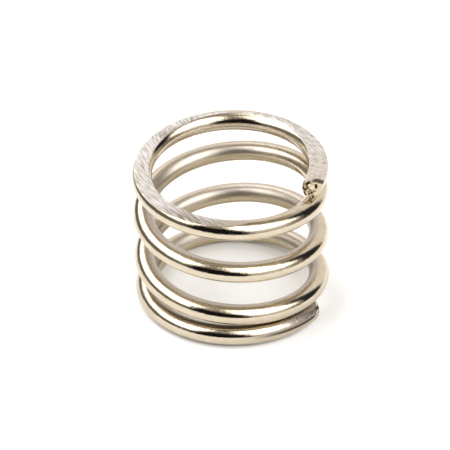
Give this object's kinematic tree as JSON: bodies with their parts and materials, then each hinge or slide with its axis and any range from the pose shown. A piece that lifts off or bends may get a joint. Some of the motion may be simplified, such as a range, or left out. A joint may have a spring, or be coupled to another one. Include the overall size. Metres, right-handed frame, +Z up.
{
  "type": "compression spring",
  "caption": "Short left-hand compression spring of bright plated round wire, with closed ends ground flat.",
  "frame": {"origin": "on the ground, under the centre of the spring's box", "axes": "+Z up along the coil, square to the bottom ground face; +X towards the side where the wire's top tip is; the coil winds downwards as it goes anticlockwise seen from above"},
  "size_m": [0.0242, 0.0244, 0.0196],
  "materials": {
    "plated_wire": "bright nickel plating on spring steel, ground to bare steel on the two end faces"
  },
  "bodies": {
    "bottom": {"bottom_end_coil": "plated_wire"},
    "coil_1": {"active_coil_1": "plated_wire"},
    "coil_2": {"active_coil_2": "plated_wire"},
    "coil_3": {"active_coil_3": "plated_wire"},
    "coil_4": {"active_coil_4": "plated_wire"},
    "coil_5": {"active_coil_5": "plated_wire"},
    "coil_6": {"active_coil_6": "plated_wire"},
    "coil_7": {"active_coil_7": "plated_wire"},
    "coil_8": {"active_coil_8": "plated_wire"},
    "top": {"active_coil_9": "plated_wire", "top_end_coil": "plated_wire"}
  },
  "joints": [
    {"name": "press_coil_1", "type": "slide", "parent": "bottom", "child": "coil_1", "axis": [0, 0, -1], "range_m": [0, 0.00065], "stiffness_N_per_m": 12000},
    {"name": "press_coil_2", "type": "slide", "parent": "coil_1", "child": "coil_2", "axis": [0, 0, -1], "range_m": [0, 0.00065], "stiffness_N_per_m": 12000},
    {"name": "press_coil_3", "type": "slide", "parent": "coil_2", "child": "coil_3", "axis": [0, 0, -1], "range_m": [0, 0.00065], "stiffness_N_per_m": 12000},
    {"name": "press_coil_4", "type": "slide", "parent": "coil_3", "child": "coil_4", "axis": [0, 0, -1], "range_m": [0, 0.00065], "stiffness_N_per_m": 12000},
    {"name": "press_coil_5", "type": "slide", "parent": "coil_4", "child": "coil_5", "axis": [0, 0, -1], "range_m": [0, 0.00065], "stiffness_N_per_m": 12000},
    {"name": "press_coil_6", "type": "slide", "parent": "coil_5", "child": "coil_6", "axis": [0, 0, -1], "range_m": [0, 0.00065], "stiffness_N_per_m": 12000},
    {"name": "press_coil_7", "type": "slide", "parent": "coil_6", "child": "coil_7", "axis": [0, 0, -1], "range_m": [0, 0.00065], "stiffness_N_per_m": 12000},
    {"name": "press_coil_8", "type": "slide", "parent": "coil_7", "child": "coil_8", "axis": [0, 0, -1], "range_m": [0, 0.00065], "stiffness_N_per_m": 12000},
    {"name": "press_top", "type": "slide", "parent": "coil_8", "child": "top", "axis": [0, 0, -1], "range_m": [0, 0.00065], "stiffness_N_per_m": 12000}
  ],
  "couplings": [
    {"joint": "press_coil_1", "follows": "press_top", "ratio": 1},
    {"joint": "press_coil_2", "follows": "press_top", "ratio": 1},
    {"joint": "press_coil_3", "follows": "press_top", "ratio": 1},
    {"joint": "press_coil_4", "follows": "press_top", "ratio": 1},
    {"joint": "press_coil_5", "follows": "press_top", "ratio": 1},
    {"joint": "press_coil_6", "follows": "press_top", "ratio": 1},
    {"joint": "press_coil_7", "follows": "press_top", "ratio": 1},
    {"joint": "press_coil_8", "follows": "press_top", "ratio": 1}
  ]
}
